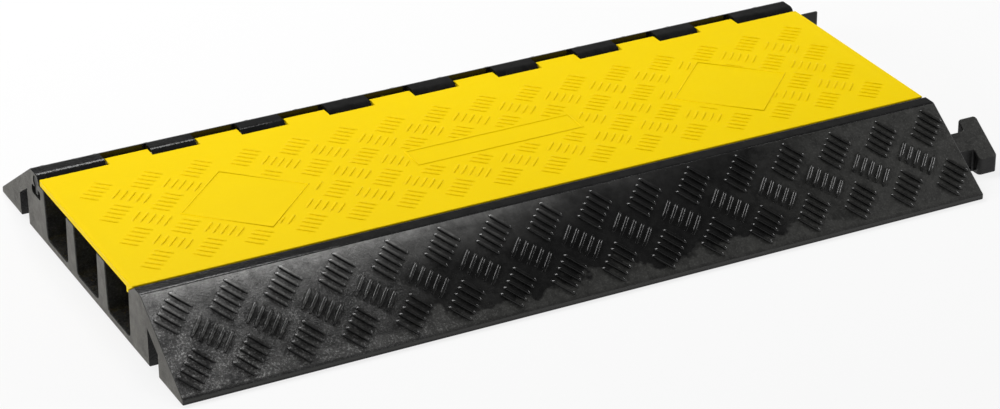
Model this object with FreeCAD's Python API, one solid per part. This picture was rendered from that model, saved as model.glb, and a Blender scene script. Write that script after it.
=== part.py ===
"""Cable protector ramp: a moulded rubber base with three cable channels and a hinged lid.

Frame: millimetres, +Z up, +X along the channels towards the male connectors, -Y towards the ramp
that the lid opens from. The origin is on the floor, in the middle of the base's footprint.
"""
import FreeCAD, Part
import math
import os

Vec = FreeCAD.Vector

# --- base: overall ---
body_length = 900.0        # along the channels, without the male connectors
body_width = 500.0         # across both ramps
body_height = 71.5         # floor to the top of the ridges
ramp_run = 98.5            # plan width of each sloping face
lip_height = 6.5           # upright edge at the foot of a ramp
end_rounding = 1.4         # moulded rounding round each end face

# --- base: ridges and channels ---
front_crest = 14.3         # flat top of the front ridge
rear_crest = 14.3          # hinge axis to the outer edge of the rear ridge
ridge_rounding = 7.0       # outer edge of both ridges
lid_recess_run = 17.2      # plan width of the front ridge's inner slope
lid_recess_drop = 11.0     # height of that slope
channel_count = 3
divider_thickness = 21.0   # at the top of a divider wall
rear_land = 10.7           # flat between the rear channel and the hinge pocket
floor_thickness = 7.5
wall_draft = 2.5           # a channel wall's lean over its height
channel_rounding = 6.0     # bottom corners of a channel
edge_rounding = 1.6        # small outer edges of the moulding

# --- hinge ---
knuckle_radius = 9.2       # base knuckles
knuckle_pitch = 100.0      # from one lid knuckle to the next
lid_knuckle_length = 47.0
knuckle_side_gap = 2.0     # between a lid knuckle and its neighbours
end_knuckle_min = 40.0     # least length of the base knuckle at each end
rod_diameter = 8.0
rod_clearance = 0.05       # radial, in base and lid alike
pocket_clearance = 1.2     # round a lid knuckle
pocket_reach = 12.5        # hinge axis to the back wall of a knuckle pocket
pocket_rear_depth = 6.0    # of that back part, below the hinge axis
rod_gap = 1.0              # between the two rods, and from a rod to its plug

# --- rod plugs ---
plug_seat_depth = 6.0      # recess in the end face
plug_head_radius = 6.2
plug_head_clearance = 0.4
plug_head_thickness = 5.0
plug_spigot_length = 6.0
plug_tab_width = 6.0
plug_tab_drop = 15.0       # hinge axis to the foot of the tab
finger_recess_width = 25.0
finger_recess_height = 10.0
finger_recess_foot = 17.0  # hinge axis to the bottom of the recess
finger_rounding = 3.0
finger_floor = 1.0         # finger recess below the foot of the tab's slot

# --- lid ---
lid_drop = 1.6             # lid's top below the ridge tops
lid_thickness = 7.8
lid_seat_gap = 0.3         # lid's underside above the dividers
lid_bevel_gap = 0.4        # bevelled front edge to the ridge
lid_end_gap = 0.5          # each end, back from the end face
lid_rear_setback = 12.3    # hinge axis to the lid's rear edge, between its knuckles
lip_depth = 5.6            # front lip below the lid's underside
lip_thickness = 4.6
lip_wall_gap = 1.0         # lip to the channel wall
lid_rounding = 1.2         # long edges
lid_end_rounding = 1.1     # top edge at each end

# --- connectors between ramps ---
connector_inset = 27.0     # ridge's edge to a connector's middle
neck_width = 21.0
neck_length = 28.0
head_width = 45.0
head_length = 23.0
connector_drop = 21.0      # top of a connector below the ramp's face
connector_rounding = 4.0   # upright corners
connector_edge = 1.5       # round its top
slot_side_gap = 2.0        # neck in the slot's mouth, each side
slot_head_gap = 1.5        # head in the slot, all round
slot_top_gap = 1.5

# --- worked out from the above ---
half_length = body_length / 2
half_width = body_width / 2
ridge_edge = half_width - ramp_run
hinge_y = ridge_edge - rear_crest
hinge_z = body_height - knuckle_radius
lid_top = body_height - lid_drop
lid_under = lid_top - lid_thickness
seat_z = lid_under - lid_seat_gap
front_foot_y = -(ridge_edge - front_crest - lid_recess_run)
front_foot_z = body_height - lid_recess_drop
channel_field = hinge_y - pocket_reach - rear_land - front_foot_y
channel_width = (channel_field - (channel_count - 1) * divider_thickness) / channel_count
channel_pitch = channel_width + divider_thickness
ramp_slope = (body_height - lip_height) / ramp_run
connector_offset = ridge_edge + connector_inset
lid_knuckle_radius = lid_top - hinge_z
rod_radius = rod_diameter / 2
bore_radius = rod_radius + rod_clearance
knuckles_each_side = int((half_length - end_knuckle_min) / knuckle_pitch)
spare = 20.0               # how far a cutting tool runs past what it cuts


def rounded_wire(corners, place):
    """Closed wire through corners of (u, v, radius), each rounded by an arc of its own radius."""
    count = len(corners)
    entries = []
    for index, (u, v, radius) in enumerate(corners):
        here = Vec(u, v, 0)
        before = Vec(corners[index - 1][0], corners[index - 1][1], 0)
        after = Vec(corners[(index + 1) % count][0], corners[(index + 1) % count][1], 0)
        to_before = (before - here).normalize()
        to_after = (after - here).normalize()
        if radius == 0:
            entries.append((here, None, here))
            continue
        half_angle = to_before.getAngle(to_after) / 2
        reach = radius / math.tan(half_angle)
        middle = (to_before + to_after).normalize()
        nearest = here + middle * (radius / math.sin(half_angle) - radius)
        entries.append((here + to_before * reach, nearest, here + to_after * reach))
    edges = []
    for index, (start, nearest, end) in enumerate(entries):
        if nearest is not None:
            edges.append(Part.Arc(place(start), place(nearest), place(end)).toShape())
        following = entries[(index + 1) % count][0]
        if end.distanceToPoint(following) > 1e-6:
            edges.append(Part.LineSegment(place(end), place(following)).toShape())
    return Part.Wire(edges)


def prism_x(corners, x_low, x_high):
    """Solid of a Y-Z outline of (y, z, radius), from x_low to x_high."""
    wire = rounded_wire(corners, lambda p: Vec(x_low, p.x, p.y))
    return Part.Face(wire).extrude(Vec(x_high - x_low, 0, 0))


def prism_z(corners, z_low, z_high):
    """Solid of an X-Y outline of (x, y, radius), from z_low to z_high."""
    wire = rounded_wire(corners, lambda p: Vec(p.x, p.y, z_low))
    return Part.Face(wire).extrude(Vec(0, 0, z_high - z_low))


def block(x_low, x_high, y_low, y_high, z_low, z_high):
    return Part.makeBox(x_high - x_low, y_high - y_low, z_high - z_low, Vec(x_low, y_low, z_low))


def rod_x(radius, x_low, x_high):
    """Cylinder on the hinge axis."""
    return Part.makeCylinder(radius, x_high - x_low, Vec(x_low, hinge_y, hinge_z), Vec(1, 0, 0))


def mirror_x(shape):
    return shape.mirror(Vec(0, 0, 0), Vec(1, 0, 0))


def lid_knuckle_centres():
    centres = [(index + 0.5) * knuckle_pitch for index in range(knuckles_each_side)]
    return sorted([-x for x in centres] + centres)


def channel_edges():
    """(front, rear) of each channel at its top, from the front."""
    fronts = [front_foot_y + index * channel_pitch for index in range(channel_count)]
    return [(front, front + channel_width) for front in fronts]


def base_outline():
    """Y-Z outline of the moulding between its end faces, with every channel open at the top."""
    corners = [(-half_width, 0, edge_rounding), (-half_width, lip_height, edge_rounding)]
    corners.append((-ridge_edge, body_height, ridge_rounding))
    corners.append((-ridge_edge + front_crest, body_height, edge_rounding))
    for index, (front, rear) in enumerate(channel_edges()):
        top = front_foot_z if index == 0 else seat_z
        corners.append((front, top, edge_rounding))
        corners.append((front + wall_draft, floor_thickness, channel_rounding))
        corners.append((rear - wall_draft, floor_thickness, channel_rounding))
        corners.append((rear, seat_z, edge_rounding))
    corners.append((hinge_y, seat_z, 0))
    corners.append((hinge_y, body_height, 0))
    corners.append((ridge_edge, body_height, ridge_rounding))
    corners.append((half_width, lip_height, edge_rounding))
    corners.append((half_width, 0, edge_rounding))
    return corners


def base_moulding():
    """The extruded outline and the hinge barrel along it, with both end faces' outlines rounded."""
    solid = prism_x(base_outline(), -half_length, half_length)
    solid = solid.fuse(rod_x(knuckle_radius, -half_length, half_length)).removeSplitter()
    ends = []
    for edge in solid.Edges:
        box = edge.BoundBox
        if box.XLength < 1e-6 and abs(abs(box.XMin) - half_length) < 1e-6:
            ends.append(edge)
    return solid.makeFillet(end_rounding, ends)


def knuckle_pocket(centre):
    """Room in the rear ridge for one lid knuckle and for the lid's neck in front of it."""
    half = lid_knuckle_length / 2 + knuckle_side_gap
    low = centre - half
    high = centre + half
    top = body_height + spare
    tool = rod_x(lid_knuckle_radius + pocket_clearance, low, high)
    front = block(low, high, hinge_y - pocket_reach, hinge_y, seat_z, top)
    rear_foot = hinge_z - pocket_rear_depth
    rear = block(low, high, hinge_y, hinge_y + pocket_reach, rear_foot, top)
    return tool.fuse([front, rear])


def plug_seat():
    """Recess in the left end face: a round seat for the plug's head and a finger recess under it."""
    face = -half_length
    inner = face + plug_seat_depth
    outer = face - spare
    seat = rod_x(plug_head_radius + plug_head_clearance, outer, inner)
    half_tab = plug_tab_width / 2 + plug_head_clearance
    foot = hinge_z - finger_recess_foot
    tab_slot = block(outer, inner, hinge_y - half_tab, hinge_y + half_tab, foot + finger_floor, hinge_z)
    half = finger_recess_width / 2
    top = foot + finger_recess_height
    corners = [(hinge_y - half, foot), (hinge_y + half, foot), (hinge_y + half, top), (hinge_y - half, top)]
    finger = prism_x([(y, z, finger_rounding) for y, z in corners], outer, inner)
    return seat.fuse([tab_slot, finger])


def under_ramp(side, drop, x_low, x_high):
    """Everything below a plane parallel to one ramp's face and drop below it; side is -1 or 1."""
    inner = ridge_edge - spare
    outer = half_width + spare
    inner_z = body_height + spare * ramp_slope - drop
    outer_z = lip_height - spare * ramp_slope - drop
    corners = [(side * inner, -spare, 0), (side * inner, inner_z, 0), (side * outer, outer_z, 0)]
    if outer_z > -spare:
        corners.append((side * outer, -spare, 0))
    return prism_x(corners, x_low, x_high)


def tee_outline(x_root, neck_half, head_half, x_head, x_tip, y_middle, rounding):
    """X-Y outline of a T lying along +X, with its head's corners and inner corners rounded."""
    return [
        (x_root, y_middle - neck_half, 0),
        (x_head, y_middle - neck_half, rounding / 2),
        (x_head, y_middle - head_half, rounding),
        (x_tip, y_middle - head_half, rounding),
        (x_tip, y_middle + head_half, rounding),
        (x_head, y_middle + head_half, rounding),
        (x_head, y_middle + neck_half, rounding / 2),
        (x_root, y_middle + neck_half, 0),
    ]


def male_connector(side):
    """T on the right end that drops into the next ramp's slot."""
    x_head = half_length + neck_length
    x_root = half_length - spare / 2
    x_tip = x_head + head_length
    middle = side * connector_offset
    outline = tee_outline(x_root, neck_width / 2, head_width / 2, x_head, x_tip, middle, connector_rounding)
    tee = prism_z(outline, 0, body_height).common(under_ramp(side, connector_drop, 0, x_tip + spare))
    top_edges = []
    for edge in tee.Edges:
        on_top = all(abs(plane_height(side, v.Point) - connector_drop) < 1e-4 for v in edge.Vertexes)
        if on_top and edge.BoundBox.XMax > half_length:
            top_edges.append(edge)
    return tee.makeFillet(connector_edge, top_edges)


def plane_height(side, point):
    """How far a point lies below a ramp's face, straight down."""
    return body_height - (side * point.y - ridge_edge) * ramp_slope - point.z


def female_slot(side):
    """Room in the left end for the next ramp's T, open below and at the end."""
    face = -half_length
    x_head = face + neck_length - slot_head_gap
    x_tip = face + neck_length + head_length + slot_head_gap
    neck_half = neck_width / 2 + slot_side_gap
    head_half = head_width / 2 + slot_head_gap
    middle = side * connector_offset
    outline = tee_outline(face - spare, neck_half, head_half, x_head, x_tip, middle, connector_rounding)
    tool = prism_z(outline, -spare / 2, body_height)
    return tool.common(under_ramp(side, connector_drop - slot_top_gap, face - 2 * spare, x_tip + spare))


def make_base():
    solid = base_moulding()
    solid = solid.fuse([male_connector(-1), male_connector(1)])
    tools = [knuckle_pocket(centre) for centre in lid_knuckle_centres()]
    tools.append(rod_x(bore_radius, -half_length, half_length))
    tools.append(plug_seat())
    tools.append(mirror_x(plug_seat()))
    tools.append(female_slot(-1))
    tools.append(female_slot(1))
    return solid.cut(tools).removeSplitter()


def lid_outline():
    """Y-Z outline of the lid's plate: bevelled front edge, a lip below it, and a square rear edge."""
    slope = lid_recess_drop / lid_recess_run
    length = math.hypot(lid_recess_drop, lid_recess_run)
    shift_z = lid_bevel_gap * length / lid_recess_run
    bevel_top_y = front_foot_y - (lid_top - front_foot_z - shift_z) / slope
    wall_lean = wall_draft / (front_foot_z - floor_thickness)
    lip_foot = lid_under - lip_depth
    lip_front = front_foot_y + lip_wall_gap + (front_foot_z - lip_foot) * wall_lean
    bevel_foot_z = front_foot_z + shift_z - (lip_front - front_foot_y) * slope
    rear = hinge_y - lid_rear_setback
    return [
        (bevel_top_y, lid_top, lid_rounding),
        (lip_front, bevel_foot_z, 0),
        (lip_front, lip_foot, lid_rounding),
        (lip_front + lip_thickness, lip_foot, lid_rounding),
        (lip_front + lip_thickness, lid_under, lid_rounding),
        (rear, lid_under, lid_rounding),
        (rear, lid_top, lid_rounding),
    ]


def lid_knuckle(centre):
    """Barrel round the rod, with a neck as thick as the lid."""
    low = centre - lid_knuckle_length / 2
    high = centre + lid_knuckle_length / 2
    barrel = rod_x(lid_knuckle_radius, low, high)
    neck = block(low, high, hinge_y - lid_rear_setback - 2 * lid_rounding, hinge_y, lid_under, lid_top)
    return barrel.fuse(neck)


def make_lid():
    end = half_length - lid_end_gap
    plate = prism_x(lid_outline(), -end, end)
    top_ends = []
    for edge in plate.Edges:
        box = edge.BoundBox
        if box.XLength < 1e-6 and box.ZMin > lid_top - 2 * lid_rounding:
            top_ends.append(edge)
    plate = plate.makeFillet(lid_end_rounding, top_ends)
    solid = plate.fuse([lid_knuckle(centre) for centre in lid_knuckle_centres()])
    return solid.cut(rod_x(bore_radius, -end, end)).removeSplitter()


def make_hinge_rod():
    """Left one of the two rods, from its plug to the middle of the ramp."""
    outer = -half_length + plug_seat_depth + plug_spigot_length + rod_gap
    return rod_x(rod_radius, outer, -rod_gap / 2)


def make_rod_plug():
    """Left plug: a spigot in the bore, a head on the bottom of its seat, and a tab to pull it by."""
    inner = -half_length + plug_seat_depth
    outer = inner - plug_head_thickness
    spigot = rod_x(rod_radius, outer, inner + plug_spigot_length)
    head = rod_x(plug_head_radius, outer, inner)
    foot = hinge_z - plug_tab_drop
    half = plug_tab_width / 2
    corners = [
        (hinge_y - half, foot, half * 0.9),
        (hinge_y + half, foot, half * 0.9),
        (hinge_y + half, hinge_z, 0),
        (hinge_y - half, hinge_z, 0),
    ]
    tab = prism_x(corners, outer, inner)
    return spigot.fuse([head, tab]).removeSplitter()


def write(name, shape):
    solids = shape.Solids
    print(name, "solids", len(solids), "valid", shape.isValid(), "volume_cm3", round(shape.Volume / 1000, 1))
    shape.exportStep("parts/" + name + ".step")


def main():
    os.makedirs("parts", exist_ok=True)
    rod = make_hinge_rod()
    plug = make_rod_plug()
    write("base", make_base())
    write("lid", make_lid())
    write("hinge_rod_left", rod)
    write("hinge_rod_right", mirror_x(rod))
    write("rod_plug_left", plug)
    write("rod_plug_right", mirror_x(plug))


main()
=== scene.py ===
import math
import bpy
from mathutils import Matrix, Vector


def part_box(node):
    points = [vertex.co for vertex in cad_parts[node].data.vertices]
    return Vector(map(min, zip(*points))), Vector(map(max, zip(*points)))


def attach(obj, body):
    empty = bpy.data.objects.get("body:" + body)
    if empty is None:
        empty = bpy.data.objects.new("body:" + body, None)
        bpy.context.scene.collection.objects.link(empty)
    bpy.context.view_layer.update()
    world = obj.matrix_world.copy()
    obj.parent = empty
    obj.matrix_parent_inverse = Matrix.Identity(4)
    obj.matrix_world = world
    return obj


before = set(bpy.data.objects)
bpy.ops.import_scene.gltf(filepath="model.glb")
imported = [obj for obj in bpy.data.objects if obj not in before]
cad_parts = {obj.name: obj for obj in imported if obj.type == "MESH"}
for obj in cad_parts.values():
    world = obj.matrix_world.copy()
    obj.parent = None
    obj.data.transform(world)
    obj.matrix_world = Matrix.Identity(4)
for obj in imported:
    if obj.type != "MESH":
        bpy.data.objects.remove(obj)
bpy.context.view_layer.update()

from types import SimpleNamespace

import bmesh
import bpy
from mathutils import Matrix, Vector

# --- where the CAD model's faces are, in metres ---
BASE_LOW, BASE_HIGH = [Vector(corner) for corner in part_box("base")]
LID_HIGH = Vector(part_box("lid")[1])
HALF_LENGTH = -BASE_LOW.x
HALF_WIDTH = BASE_HIGH.y
RIDGE_TOP = BASE_HIGH.z
LID_TOP = LID_HIGH.z
RAMP_RUN = 0.0985          # plan width of a ramp's face
LIP_HEIGHT = 0.0065        # upright edge at its foot
RIDGE_EDGE = HALF_WIDTH - RAMP_RUN
RAMP_FALL = RIDGE_TOP - LIP_HEIGHT
RAMP_LENGTH = math.hypot(RAMP_RUN, RAMP_FALL)
RUN_SHARE = RAMP_RUN / RAMP_LENGTH
FALL_SHARE = RAMP_FALL / RAMP_LENGTH

# --- camera, read off the photograph by its fit to the ramp's corners ---
LENS = 117.16              # mm, on a sensor 36 mm wide
SENSOR_WIDTH = 36.0
SHIFT = (-0.0145, 0.0057)
CAMERA_PLACE = (-1.3702, -2.7157, 1.5519)
CAMERA_RIGHT = Vector((0.88770, -0.46039, -0.00592))
CAMERA_UP = Vector((0.21576, 0.40458, 0.88868))

# --- light and floor ---
WORLD_STRENGTH = 0.28      # light from all round
FLOOR_REACH = 12.0
FLOOR_DROP = 0.0002        # the floor lies this far below the ramp's underside
FLOOR_GREY = 0.80
FLOOR_GLOW = 0.80          # share of plain white in the floor where it is seen

# --- tread bars ---
BAR_SINK = 0.0006          # how far a bar's foot reaches into the face under it
FRONT_BAR = {"length": 0.0275, "width": 0.0046, "height": 0.0026, "flatness": 2.6}
REAR_BAR = {"length": 0.0275, "width": 0.0046, "height": 0.0017, "flatness": 2.6}
LID_BAR = {"length": 0.0225, "width": 0.0032, "height": 0.0010, "flatness": 5.0}
BAR_TAPER = 0.0037         # length over which each end slopes down
BARS_IN_GROUP = 5
BAR_STEP = 0.0060          # from bar to bar, along X and across
RAMP_GROUP_PITCH = 0.0568
RAMP_GROUPS = 16           # leaning rows; the row between them has one fewer
RAMP_SLANT = (0.65, 0.76)  # a bar's direction along X and down the face
FRONT_ROW_DEPTHS = (0.0278, 0.0590, 0.0903)  # down the face, from the ridge's edge
REAR_ROW_DEPTHS = (0.0330, 0.0620, 0.0910)   # lower down, as no bar shows over the ridge
LID_GROUP_PITCH = 0.0545
LID_GROUPS = 16
LID_ROW_PITCH = 0.0549
LID_MIDDLE = Vector((0.0008, -0.0087, 0))
LID_LEAN_ROWS = 4
LID_SLANT = (0.68, -0.73)  # a bar's direction along X and Y

# --- the lid's bare panels ---
PANEL_LINE = {"width": 0.0018, "height": 0.0009, "flatness": 2.5}
DIAMOND_X = 0.2818
DIAMOND_Y = -0.0125
DIAMOND_HALF = 0.0690
LABEL_Y = -0.0098
LABEL_HALF_LENGTH = 0.0948
LABEL_HALF_WIDTH = 0.0167
PANEL_MARGIN = 0.0040      # bars stop this far outside a panel's outline
SHORTEST_BAR = 0.0105      # what is left of a bar beside a panel is left out below this length

# --- where the rubber's finish changes, in metres ---
SKIN_HEIGHT = 0.0155       # the ramps' glossy skin ends about this high up
CREST_DEPTH = 0.0012       # crests and knuckle tops lie less than this below the ridges' top
INNER_FRONT = 0.0040       # the inner faces start this far behind the front ridge's edge
INNER_REAR = 0.0005        # and end this far in front of the rear ridge's edge
INNER_DEPTH = 0.0060       # they are a little duller from here down
LIP_MARGIN = 0.0006        # the lips' clean skin stops this far below their top
FOOT_WIDTH = 0.0045        # the painted crease shade above a lip and the painted highlight on its top lie within this of the ramp's outer edge
BAR_LIFT = 0.0002          # what stands more than this off a ramp's face is a bar
END_DEPTH = 0.0035         # the end faces' rounded edges reach this far along X


# ---------------------------------------------------------------- camera, light and floor

def make_camera():
    """The photograph's viewpoint: a long lens from the front left, above the ramp."""
    camera = bpy.data.cameras.new("camera")
    camera.lens = LENS
    camera.sensor_width = SENSOR_WIDTH
    camera.shift_x, camera.shift_y = SHIFT
    holder = bpy.data.objects.new("camera", camera)
    back = CAMERA_RIGHT.cross(CAMERA_UP)
    turn = Matrix((CAMERA_RIGHT, CAMERA_UP, back)).transposed().to_4x4()
    holder.matrix_world = Matrix.Translation(CAMERA_PLACE) @ turn
    bpy.context.scene.collection.objects.link(holder)
    bpy.context.scene.camera = holder


def area_light(name, place, target, size, power):
    """Rectangular lamp at place that shines at target, both in metres; power in watts."""
    lamp = bpy.data.lights.new(name, "AREA")
    lamp.shape = "RECTANGLE"
    lamp.size, lamp.size_y = size
    lamp.energy = power
    holder = bpy.data.objects.new(name, lamp)
    aim = Vector(target) - Vector(place)
    holder.rotation_euler = aim.to_track_quat("-Z", "Y").to_euler()
    holder.location = place
    bpy.context.scene.collection.objects.link(holder)


def make_lights():
    """Three soft boxes: one behind the ramp, one off each end."""
    area_light("back_softbox", (-0.24, 1.40, 2.1), (0, 0, 0), (1.6, 0.8), 46)
    area_light("left_softbox", (-2.6, 0.3, 1.0), (-0.3, 0, 0.03), (1.0, 1.0), 27)
    area_light("right_softbox", (2.6, -0.5, 1.05), (0.3, 0, 0), (0.7, 0.7), 22)


def seen_directly(nodes, links):
    """1 for rays that show the surface as it is: straight to the camera, or by a mirror or glass."""
    path = nodes.new("ShaderNodeLightPath")
    glossy = nodes.new("ShaderNodeMath")
    glossy.operation = "MAXIMUM"
    links.new(path.outputs["Is Camera Ray"], glossy.inputs[0])
    links.new(path.outputs["Is Glossy Ray"], glossy.inputs[1])
    either = nodes.new("ShaderNodeMath")
    either.operation = "MAXIMUM"
    links.new(glossy.outputs[0], either.inputs[0])
    links.new(path.outputs["Is Transmission Ray"], either.inputs[1])
    return either.outputs[0]


def make_world():
    """Plain soft light from all round; where it is seen, a white backdrop that darkens overhead."""
    world = bpy.data.worlds.new("studio")
    bpy.context.scene.world = world
    world.use_nodes = True
    nodes = world.node_tree.nodes
    links = world.node_tree.links
    nodes.clear()
    lighting = nodes.new("ShaderNodeBackground")
    lighting.inputs["Color"].default_value = (1, 1, 1, 1)
    lighting.inputs["Strength"].default_value = WORLD_STRENGTH
    direction = nodes.new("ShaderNodeSeparateXYZ")
    links.new(nodes.new("ShaderNodeTexCoord").outputs["Generated"], direction.inputs[0])
    backdrop = nodes.new("ShaderNodeValToRGB")
    backdrop.color_ramp.interpolation = "EASE"
    low, high = backdrop.color_ramp.elements
    low.position, low.color = 0.12, (1, 1, 1, 1)
    high.position, high.color = 0.36, (0.14, 0.14, 0.14, 1)
    links.new(direction.outputs["Z"], backdrop.inputs[0])
    white = nodes.new("ShaderNodeBackground")
    white.inputs["Strength"].default_value = 1.0
    links.new(backdrop.outputs[0], white.inputs["Color"])
    mix = nodes.new("ShaderNodeMixShader")
    links.new(seen_directly(nodes, links), mix.inputs[0])
    links.new(lighting.outputs[0], mix.inputs[1])
    links.new(white.outputs[0], mix.inputs[2])
    out = nodes.new("ShaderNodeOutputWorld")
    links.new(mix.outputs[0], out.inputs[0])


def make_floor():
    """Pale floor, white where it is seen, that keeps a soft shadow."""
    mesh = bpy.data.meshes.new("floor")
    turns = [(-1, -1), (1, -1), (1, 1), (-1, 1)]
    corners = [(sx * FLOOR_REACH, sy * FLOOR_REACH, 0) for sx, sy in turns]
    mesh.from_pydata(corners, [], [(0, 1, 2, 3)])
    floor = bpy.data.objects.new("floor", mesh)
    floor.location.z = -FLOOR_DROP
    bpy.context.scene.collection.objects.link(floor)
    material = bpy.data.materials.new("floor_white")
    material.use_nodes = True
    nodes = material.node_tree.nodes
    links = material.node_tree.links
    nodes.clear()
    matt = nodes.new("ShaderNodeBsdfDiffuse")
    matt.inputs["Color"].default_value = (FLOOR_GREY, FLOOR_GREY, FLOOR_GREY, 1)
    glow = nodes.new("ShaderNodeEmission")
    glow.inputs["Strength"].default_value = 1.0
    share = nodes.new("ShaderNodeMath")
    share.operation = "MULTIPLY"
    share.inputs[1].default_value = FLOOR_GLOW
    links.new(seen_directly(nodes, links), share.inputs[0])
    mix = nodes.new("ShaderNodeMixShader")
    links.new(share.outputs[0], mix.inputs[0])
    links.new(matt.outputs[0], mix.inputs[1])
    links.new(glow.outputs[0], mix.inputs[2])
    out = nodes.new("ShaderNodeOutputMaterial")
    links.new(mix.outputs[0], out.inputs[0])
    mesh.materials.append(material)


# ---------------------------------------------------------------- materials

class Nodes:
    """Short ways to add shader nodes to one material."""

    def __init__(self, name):
        self.material = bpy.data.materials.new(name)
        self.material.use_nodes = True
        self.tree = self.material.node_tree
        self.tree.nodes.clear()
        self.place = self.add("ShaderNodeTexCoord").outputs["Object"]

    def add(self, kind):
        return self.tree.nodes.new(kind)

    def link(self, source, target):
        self.tree.links.new(source, target)

    def noise(self, scale, detail=2.0, roughness=0.5, stretch=(1, 1, 1)):
        """Noise in the object's own metres; scale is features per metre."""
        mapping = self.add("ShaderNodeMapping")
        mapping.inputs["Scale"].default_value = stretch
        self.link(self.place, mapping.inputs["Vector"])
        texture = self.add("ShaderNodeTexNoise")
        texture.inputs["Scale"].default_value = scale
        texture.inputs["Detail"].default_value = detail
        texture.inputs["Roughness"].default_value = roughness
        self.link(mapping.outputs[0], texture.inputs["Vector"])
        return texture.outputs["Fac"]

    def ramp(self, source, stops):
        """Values at places along source, blended between: [(place, value), ...]."""
        node = self.add("ShaderNodeValToRGB")
        elements = node.color_ramp.elements
        while len(elements) < len(stops):
            elements.new(0.5)
        for element, (place, value) in zip(elements, stops):
            element.position = place
            element.color = (*value, 1) if isinstance(value, tuple) else (value, value, value, 1)
        self.link(source, node.inputs["Fac"])
        return node.outputs["Color"]

    def math(self, operation, first, second=0.0, clamp=False):
        node = self.add("ShaderNodeMath")
        node.operation = operation
        node.use_clamp = clamp
        for socket, value in zip(node.inputs, (first, second)):
            if isinstance(value, (int, float)):
                socket.default_value = value
            else:
                self.link(value, socket)
        return node.outputs[0]

    def times(self, first, *others):
        for other in others:
            first = self.math("MULTIPLY", first, other)
        return first

    def plus(self, first, second):
        return self.math("ADD", first, second)

    def minus(self, first, second):
        return self.math("SUBTRACT", first, second)

    def most(self, first, second):
        return self.math("MAXIMUM", first, second)

    def magnitude(self, value):
        return self.math("ABSOLUTE", value)

    def above(self, value, limit):
        """1 where value is over limit, else 0."""
        return self.math("GREATER_THAN", value, limit)

    def below(self, value, limit):
        """1 where value is under limit, else 0."""
        return self.math("LESS_THAN", value, limit)

    def climb(self, value, start, slope):
        """0 up to start, then rising by slope until it is 1."""
        return self.math("MULTIPLY", self.minus(value, start), slope, clamp=True)

    def mix(self, share, first, second):
        """Colour first where share is 0, second where it is 1."""
        node = self.add("ShaderNodeMix")
        node.data_type = "RGBA"
        self.feed(node.inputs[0], share)
        self.feed(node.inputs[6], first)
        self.feed(node.inputs[7], second)
        return node.outputs[2]

    def feed(self, socket, value):
        if isinstance(value, tuple):
            socket.default_value = (*value, 1)
        elif isinstance(value, (int, float)):
            socket.default_value = value
        else:
            self.link(value, socket)

    def axes(self, vector):
        node = self.add("ShaderNodeSeparateXYZ")
        self.link(vector, node.inputs[0])
        return node.outputs

    def bump(self, layers):
        """Bumps stacked on each other: [(height, depth in metres), ...]."""
        normal = None
        for height, depth in layers:
            node = self.add("ShaderNodeBump")
            node.inputs["Distance"].default_value = depth
            self.link(height, node.inputs["Height"])
            if normal is not None:
                self.link(normal, node.inputs["Normal"])
            normal = node.outputs[0]
        return normal

    def finish(self, colour, roughness, normal, ior=1.45, metallic=0.0):
        shader = self.add("ShaderNodeBsdfPrincipled")
        self.feed(shader.inputs["Base Color"], colour)
        self.feed(shader.inputs["Roughness"], roughness)
        self.link(normal, shader.inputs["Normal"])
        shader.inputs["IOR"].default_value = ior
        shader.inputs["Metallic"].default_value = metallic
        out = self.add("ShaderNodeOutputMaterial")
        self.link(shader.outputs[0], out.inputs[0])
        return self.material


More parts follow.
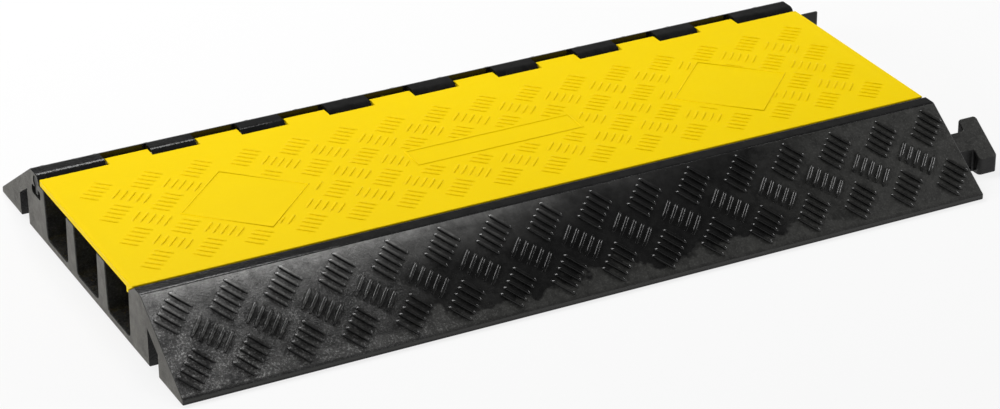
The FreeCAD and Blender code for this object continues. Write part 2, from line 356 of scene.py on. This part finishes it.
def rubber_regions(n):
    """Masks, 0 to 1, of the places where the rubber looks different."""
    at = SimpleNamespace()
    x, y, z = n.axes(n.place)
    facing_x, facing_y, facing_z = n.axes(n.add("ShaderNodeTexCoord").outputs["Normal"])
    from_end_to_end = n.magnitude(x)
    from_side_to_side = n.magnitude(y)
    wander = n.minus(n.noise(16, 4.0, 0.6), 0.5)
    wander_fine = n.minus(n.noise(70, 3.0, 0.6), 0.5)

    # On the ramps the glossy skin ends at a height that wanders along them.
    edge = n.plus(n.times(wander, 0.045), SKIN_HEIGHT)
    edge = n.plus(edge, n.times(wander_fine, 0.008))
    high_up = n.climb(z, edge, 400.0)
    # Towards the left end it is dusty, and its paler dust colour also stands in for a painted
    # reflection of the soft box; towards the right end only dulled.
    along = n.plus(n.plus(x, 0.5), n.times(wander, 0.25))
    at.dusty = n.ramp(along, [(0.05, 1.0), (0.42, 0.0)])
    dulled = n.ramp(along, [(0.68, 0.0), (0.84, 1.0)])
    glossy = n.times(high_up, n.minus(1.0, n.most(at.dusty, dulled)))

    # Crests, knuckles, the faces between the ridges and the lips keep a clean skin.
    crest = n.times(n.climb(facing_z, 0.88, 25.0), n.above(z, RIDGE_TOP - CREST_DEPTH))
    inner = n.times(n.above(y, INNER_FRONT - RIDGE_EDGE), n.below(y, RIDGE_EDGE - INNER_REAR))
    at.clean = n.most(n.most(crest, inner), n.below(z, LIP_HEIGHT - LIP_MARGIN))
    at.glossy = n.most(glossy, at.clean)
    at.inside = n.times(inner, n.below(z, RIDGE_TOP - INNER_DEPTH))

    # Dust and the painted ridge highlight lie on what faces the way the ramp's face does; the bars'
    # flanks keep the dark skin, which is painted shade there.
    outward = n.plus(n.times(n.magnitude(facing_y), FALL_SHARE), n.times(facing_z, RUN_SHARE))
    at.exposed = n.climb(outward, 0.72, 6.0)
    # Painted highlight: a grey band along the front ridge stands in for the soft box's reflection
    # there, strongest at the left end.
    below_ridge = n.plus(n.minus(RIDGE_TOP, z), n.times(wander_fine, 0.010))
    band = n.ramp(n.times(below_ridge, 20.0), [(0.03, 1.0), (0.16, 0.42), (0.55, 0.0)])
    fading = n.ramp(along, [(0.22, 1.0), (0.36, 0.55), (0.52, 0.12), (0.68, 0.0)])
    at.scuffed = n.times(band, fading, n.below(y, 0.0), at.exposed, n.minus(1.0, at.clean))

    # Bars stand proud of the ramps' faces and keep the mould's shine.
    lift = n.times(n.minus(from_side_to_side, RIDGE_EDGE), FALL_SHARE)
    lift = n.plus(lift, n.times(n.minus(z, RIDGE_TOP), RUN_SHARE))
    at.proud = n.climb(lift, BAR_LIFT, 2500.0)

    # Painted highlight: the lip's upright edge is paler at its top. Painted shade: a dark line along
    # the crease above it, stronger towards the left end.
    foot = n.above(from_side_to_side, HALF_WIDTH - FOOT_WIDTH)
    above_floor = n.times(z, 0.5 / LIP_HEIGHT)
    lip_top = n.ramp(above_floor, [(0.12, 0.0), (0.28, 1.0), (0.42, 1.0), (0.47, 0.0)])
    at.lip_top = n.times(lip_top, foot, 0.7)
    crease = n.ramp(above_floor, [(0.46, 0.0), (0.50, 1.0), (0.57, 1.0), (0.65, 0.0)])
    at.crease = n.times(crease, n.plus(n.times(at.dusty, 0.7), 0.3), foot)

    # The end faces are pale and dull.
    facing_end = n.climb(n.magnitude(facing_x), 0.80, 8.0)
    near_end = n.above(from_end_to_end, HALF_LENGTH - END_DEPTH)
    not_beyond = n.below(from_end_to_end, HALF_LENGTH + 0.001)
    at.end_face = n.times(facing_end, near_end, not_beyond)
    return at


def rubber_colour(n, at):
    # Bright specks: partly grit, partly painted glints.
    speckle = n.ramp(n.noise(480, 3.0, 0.8), [(0.53, 0.0), (0.60, 1.0)])
    grain = n.ramp(n.noise(90, 5.0, 0.7), [(0.36, 0.0), (0.64, 1.0)])
    patches = n.ramp(n.noise(55, 5.0, 0.75), [(0.36, 0.0), (0.66, 1.0)])
    skin = n.mix(grain, (0.005, 0.005, 0.0051), (0.012, 0.012, 0.0118))
    matt = n.mix(grain, (0.023, 0.023, 0.0215), (0.047, 0.047, 0.0440))
    matt = n.mix(n.times(speckle, 0.45), matt, (0.095, 0.095, 0.090))
    # Dust at the left end; its pale patches are partly a painted reflection of the soft box.
    dust = n.mix(patches, (0.012, 0.012, 0.013), (0.135, 0.133, 0.131))
    dust = n.mix(n.times(speckle, n.times(patches, 0.90)), dust, (0.60, 0.60, 0.59))
    # Painted highlight colour for the band along the front ridge.
    scuffs = n.mix(patches, (0.22, 0.218, 0.213), (0.44, 0.437, 0.427))
    pale = n.mix(grain, (0.110, 0.106, 0.097), (0.180, 0.175, 0.161))
    pale = n.mix(n.times(patches, 0.45), pale, (0.085, 0.083, 0.076))

    colour = n.mix(n.times(at.dusty, 0.8), matt, dust)
    # Painted shade: the bars' flanks take the dark skin colour.
    colour = n.mix(at.exposed, skin, colour)
    colour = n.mix(n.most(at.glossy, n.times(at.proud, 0.3)), colour, skin)
    # Painted highlight along the front ridge is mixed in here.
    colour = n.mix(at.scuffed, colour, scuffs)
    colour = n.mix(n.times(at.inside, 0.65), colour, matt)
    # Painted highlight on the top of the lips.
    colour = n.mix(at.lip_top, colour, (0.052, 0.052, 0.049))
    # Painted shade in the crease above the lips.
    colour = n.mix(at.crease, colour, (0.004, 0.004, 0.004))
    return n.mix(at.end_face, colour, pale)


def rubber_roughness(n, at):
    skin = n.ramp(n.noise(45, 4.0, 0.6), [(0.30, 0.16), (0.70, 0.30)])
    polished = n.ramp(n.noise(200, 3.0, 0.6), [(0.3, 0.09), (0.7, 0.15)])
    skin = n.mix(n.most(at.clean, at.proud), skin, polished)
    matt = n.ramp(n.noise(300, 3.0), [(0.3, 0.36), (0.7, 0.50)])
    roughness = n.mix(n.most(at.glossy, at.proud), matt, skin)
    return n.mix(at.end_face, roughness, (0.78, 0.78, 0.78))


def rubber_bumps(n, at):
    worn = n.minus(1.0, n.times(n.most(at.clean, at.proud), 0.86))
    pebbles = n.times(n.noise(380, 3.0, 0.7), n.plus(n.times(at.dusty, 0.94), 0.06))
    return n.bump([
        (n.times(n.noise(30, 3.0, 0.50), worn), 0.0010),
        (n.times(n.noise(180, 3.0, 0.55), worn), 0.00018),
        (n.times(pebbles, worn), 0.0026),
    ])


def black_rubber():
    """Moulded rubber: a glossy skin high up between dull ends, matt near the foot, pale end faces."""
    n = Nodes("black_rubber")
    at = rubber_regions(n)
    return n.finish(rubber_colour(n, at), rubber_roughness(n, at), rubber_bumps(n, at), ior=1.36)


def yellow_lid():
    """Moulded polyurethane: even satin yellow with a fine orange-peel grain and faint flow clouds."""
    n = Nodes("yellow_lid")
    cloud = n.noise(7, 4.0, 0.6)
    colour = n.mix(cloud, (0.865, 0.610, 0.0010), (0.925, 0.675, 0.0016))
    colour = n.mix(n.times(n.noise(240, 3.0, 0.6), 0.30), colour, (0.83, 0.575, 0.0010))
    roughness = n.ramp(n.noise(60, 4.0, 0.6), [(0.3, 0.36), (0.7, 0.46)])
    normal = n.bump([
        (n.noise(30, 2.0, 0.5), 0.0004),
        (n.noise(420, 3.0, 0.55), 0.00007),
        (n.noise(1600, 2.0, 0.5), 0.000025),
    ])
    return n.finish(colour, roughness, normal, ior=1.10)


def rod_steel():
    """Zinc-plated steel with fine drawing lines along its length."""
    n = Nodes("rod_steel")
    lines = n.noise(900, 3.0, 0.6, (0.02, 1, 1))
    colour = n.mix(n.noise(60, 4.0), (0.50, 0.50, 0.49), (0.62, 0.62, 0.60))
    roughness = n.ramp(lines, [(0.3, 0.26), (0.7, 0.42)])
    return n.finish(colour, roughness, n.bump([(lines, 0.00003)]), metallic=1.0)


def plug_plastic():
    """Moulded nylon with a fine spark-eroded grain; its near-black colour is painted shade of the
    recess it sits in.
    """
    n = Nodes("plug_plastic")
    # Painted shade: the plug's colour is darkened to stand for the shadow in its recess.
    colour = n.mix(n.noise(300, 4.0, 0.6), (0.018, 0.018, 0.016), (0.034, 0.034, 0.030))
    roughness = n.ramp(n.noise(500, 3.0), [(0.3, 0.48), (0.7, 0.62)])
    return n.finish(colour, roughness, n.bump([(n.noise(1400, 3.0), 0.00006)]))


# ---------------------------------------------------------------- raised tread

def bar_profile(across, flatness):
    """Height of a raised line's section, 1 along its middle and 0 at its feet; across is -1..1."""
    return math.sqrt(1 - abs(across) ** flatness)


def add_bar(target, place, along, outward, shape):
    """One closed bar, narrow and sloping down at both ends, added to a bmesh; place is its middle."""
    segments = 14
    strips = 10
    across_axis = outward.cross(along)
    rows = []
    for i in range(segments + 1):
        u = -math.cos(math.pi * i / segments)
        half_width = shape["width"] / 2 * (0.25 + 0.75 * math.sqrt(max(0.0, 1 - u ** 4)))
        height = shape["height"] * min(1.0, (1 - abs(u)) * shape["length"] / 2 / BAR_TAPER)
        row = []
        for j in range(strips + 1):
            v = -1 + 2 * j / strips
            top = height * bar_profile(v, shape["flatness"])
            point = place + along * (u * shape["length"] / 2) + across_axis * (v * half_width)
            row.append(target.verts.new(point + outward * top))
        rows.append(row)
    for i in range(segments):
        for j in range(strips):
            target.faces.new((rows[i][j], rows[i + 1][j], rows[i + 1][j + 1], rows[i][j + 1]))
    rim = rows[0] + [row[-1] for row in rows[1:]] + rows[-1][-2::-1] + [row[0] for row in rows[-2:0:-1]]
    foot = [target.verts.new(vertex.co - outward * BAR_SINK) for vertex in rim]
    count = len(rim)
    for i in range(count):
        following = (i + 1) % count
        target.faces.new((rim[following], rim[i], foot[i], foot[following]))
    target.faces.new(foot)


def mesh_object(name, target, material, body):
    """Object made of a bmesh, in one material, that rides on a body."""
    bmesh.ops.recalc_face_normals(target, faces=target.faces)
    mesh = bpy.data.meshes.new(name)
    target.to_mesh(mesh)
    target.free()
    for polygon in mesh.polygons:
        polygon.use_smooth = True
    mesh.materials.append(material)
    piece = bpy.data.objects.new(name, mesh)
    bpy.context.scene.collection.objects.link(piece)
    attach(piece, body)
    return piece


def group_offsets():
    """Places of a group's bars along one diagonal, about its middle."""
    middle = (BARS_IN_GROUP - 1) / 2
    return [(index - middle) * BAR_STEP for index in range(BARS_IN_GROUP)]


def ramp_tread(name, side, row_depths, shape, material):
    """Three rows of bar groups down one ramp: side is -1 for the front ramp and 1 for the rear one."""
    target = bmesh.new()
    down = Vector((0, side * RAMP_RUN, -RAMP_FALL)) / RAMP_LENGTH
    outward = Vector((0, side * RAMP_FALL, RAMP_RUN)) / RAMP_LENGTH
    slant_x, slant_down = RAMP_SLANT
    start = Vector((0, side * RIDGE_EDGE, RIDGE_TOP))
    for row, depth in enumerate(row_depths):
        lean = 1 if row % 2 == 0 else -1
        groups = RAMP_GROUPS if row % 2 == 0 else RAMP_GROUPS - 1
        for group in range(groups):
            middle = (group - (groups - 1) / 2) * RAMP_GROUP_PITCH
            for offset in group_offsets():
                x = -side * (middle - lean * offset)
                place = start + Vector((x, 0, 0)) + down * (depth + offset)
                along = (Vector((-side * lean * slant_x, 0, 0)) + down * slant_down).normalized()
                add_bar(target, place, along, outward, shape)
    return mesh_object(name, target, material, "base")


def in_panel(point):
    """Whether a point of the lid is inside one of its bare panels, or close to it."""
    for side in (-1, 1):
        if abs(point.x - side * DIAMOND_X) + abs(point.y - DIAMOND_Y) < DIAMOND_HALF + PANEL_MARGIN:
            return True
    in_length = abs(point.x) < LABEL_HALF_LENGTH + PANEL_MARGIN
    return in_length and abs(point.y - LABEL_Y) < LABEL_HALF_WIDTH + PANEL_MARGIN


def clear_stretch(middle, along, length):
    """Middle and length of the longest stretch of a lid bar that lies outside the panels."""
    steps = 24
    longest = []
    stretch = []
    for step in range(steps + 1):
        point = middle + along * (step / steps - 0.5) * length
        stretch = [] if in_panel(point) else stretch + [point]
        if len(stretch) > len(longest):
            longest = stretch
    if not longest:
        return middle, 0.0
    return (longest[0] + longest[-1]) / 2, (longest[-1] - longest[0]).length


def lid_tread(material):
    """Groups of bars leaning one way, with groups leaning the other way between them."""
    target = bmesh.new()
    outward = Vector((0, 0, 1))
    centre = LID_MIDDLE + outward * LID_TOP
    slant_x, slant_y = LID_SLANT
    for lean, rows, groups in ((1, LID_LEAN_ROWS, LID_GROUPS), (-1, LID_LEAN_ROWS - 1, LID_GROUPS - 1)):
        along = Vector((slant_x * lean, slant_y, 0)).normalized()
        for row in range(rows):
            y = (row - (rows - 1) / 2) * LID_ROW_PITCH
            for group in range(groups):
                x = (group - (groups - 1) / 2) * LID_GROUP_PITCH
                for offset in group_offsets():
                    middle = centre + Vector((x + lean * offset, y + offset, 0))
                    place, length = clear_stretch(middle, along, LID_BAR["length"])
                    if length > SHORTEST_BAR:
                        add_bar(target, place, along, outward, {**LID_BAR, "length": length})
    return mesh_object("lid_tread", target, material, "lid")


def add_outline(target, corners, shape):
    """Closed raised line on the lid through the corners, mitred."""
    strips = 6
    count = len(corners)
    rings = []
    for index, corner in enumerate(corners):
        before = (corner - corners[index - 1]).normalized()
        after = (corners[(index + 1) % count] - corner).normalized()
        normal_before = Vector((-before.y, before.x))
        normal_after = Vector((-after.y, after.x))
        mitre = (normal_before + normal_after).normalized()
        mitre = mitre / mitre.dot(normal_before)
        ring = []
        for j in range(strips + 1):
            v = -1 + 2 * j / strips
            flat = corner + mitre * (v * shape["width"] / 2)
            top = LID_TOP + shape["height"] * bar_profile(v, shape["flatness"])
            ring.append(target.verts.new((flat.x, flat.y, top)))
        for v in (1, -1):
            flat = corner + mitre * (v * shape["width"] / 2)
            ring.append(target.verts.new((flat.x, flat.y, LID_TOP - BAR_SINK)))
        rings.append(ring)
    for index, ring in enumerate(rings):
        following = rings[(index + 1) % count]
        for j in range(len(ring)):
            k = (j + 1) % len(ring)
            target.faces.new((ring[j], following[j], following[k], ring[k]))


def lid_panels(material):
    """Outlines of two bare diamonds and a bare rectangle."""
    target = bmesh.new()
    for side in (-1, 1):
        middle = Vector((side * DIAMOND_X, DIAMOND_Y))
        turns = [Vector((1, 0)), Vector((0, 1)), Vector((-1, 0)), Vector((0, -1))]
        add_outline(target, [middle + turn * DIAMOND_HALF for turn in turns], PANEL_LINE)
    half = Vector((LABEL_HALF_LENGTH, LABEL_HALF_WIDTH))
    middle = Vector((0, LABEL_Y))
    signs = [(1, 1), (-1, 1), (-1, -1), (1, -1)]
    add_outline(target, [middle + Vector((sx * half.x, sy * half.y)) for sx, sy in signs], PANEL_LINE)
    return mesh_object("lid_panels", target, material, "lid")


# ---------------------------------------------------------------- making it

def build():
    make_camera()
    make_world()
    make_lights()
    make_floor()
    rubber = black_rubber()
    yellow = yellow_lid()
    steel = rod_steel()
    plug = plug_plastic()
    finishes = {
        "base": rubber,
        "lid": yellow,
        "hinge_rod_left": steel,
        "hinge_rod_right": steel,
        "rod_plug_left": plug,
        "rod_plug_right": plug,
    }
    for node, material in finishes.items():
        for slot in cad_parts[node].material_slots:
            slot.material = material
    ramp_tread("ramp_tread_front", -1, FRONT_ROW_DEPTHS, FRONT_BAR, rubber)
    ramp_tread("ramp_tread_rear", 1, REAR_ROW_DEPTHS, REAR_BAR, rubber)
    lid_tread(yellow)
    lid_panels(yellow)
    bpy.context.scene.view_settings.view_transform = "Standard"


build()
